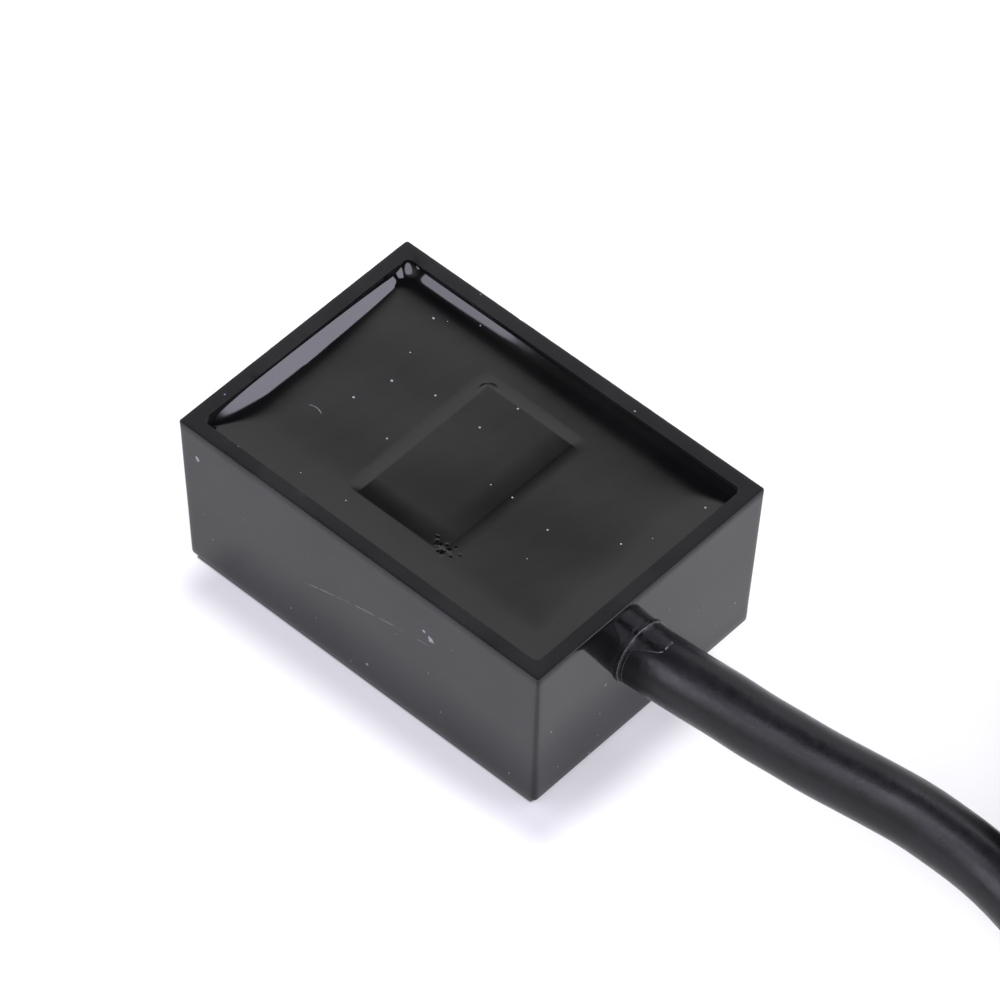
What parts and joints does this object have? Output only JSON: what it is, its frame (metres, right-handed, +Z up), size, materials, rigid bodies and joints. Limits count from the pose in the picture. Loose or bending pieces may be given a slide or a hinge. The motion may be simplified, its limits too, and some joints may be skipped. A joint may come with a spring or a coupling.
{
  "type": "proximity sensor",
  "caption": "Rectangular black box proximity sensor, potted with resin from above, with a captive three-core cable that leaves one end and is stored as a tied coil.",
  "frame": {"origin": "centre of the housing's plan, on the underside of the adhesive pad that the sensor stands on", "axes": "+X along the housing towards the cable, +Y across it, +Z up out of the open, resin-filled face"},
  "size_m": [0.095, 0.0601, 0.0127],
  "materials": {
    "housing": "glossy black moulded plastic",
    "adhesive": "dark foam adhesive tape",
    "resin": "glossy black epoxy",
    "board": "green solder mask",
    "cradle": "moulded plastic",
    "ferrite": "sintered ferrite",
    "spool": "natural moulded plastic",
    "copper": "enamelled copper",
    "package": "moulded epoxy package",
    "tin": "tinned",
    "diode_glass": "glass",
    "tantalum": "moulded epoxy",
    "chip_ceramic": "sintered ceramic",
    "ring_brass": "plain",
    "sealant": "glossy cured sealant",
    "brown_insulation": "satin PVC",
    "blue_insulation": "satin PVC",
    "black_insulation": "satin PVC",
    "jacket": "satin black PVC",
    "tie_nylon": "natural nylon"
  },
  "bodies": {
    "root": {"housing": "housing", "adhesive_pad": "adhesive", "potting_resin": "resin", "circuit_board": "board", "core_cradle": "cradle", "ferrite_core": "ferrite", "coil_spool": "spool", "coil_winding": "copper", "coil_leads": "copper", "oscillator_ic": "package", "ic_leads": "tin", "output_transistor": "package", "transistor_leads": "tin", "protection_diode": "package", "diode_terminals": "tin", "zener_diode": "diode_glass", "zener_caps": "tin", "tantalum_capacitor": "tantalum", "tantalum_terminals": "tin", "chip_resistors": "package", "chip_capacitors": "chip_ceramic", "chip_terminals": "tin", "solder_joints": "tin", "strain_relief_ring": "ring_brass", "entry_sealant": "sealant", "inner_brown_core": "brown_insulation", "inner_blue_core": "blue_insulation", "inner_black_core": "black_insulation", "cable_run": "jacket", "cable_coil": "jacket", "cable_tail": "jacket", "cable_ties": "tie_nylon", "lead_brown": "brown_insulation", "lead_blue": "blue_insulation", "lead_black": "black_insulation", "lead_tips": "tin"}
  },
  "joints": []
}
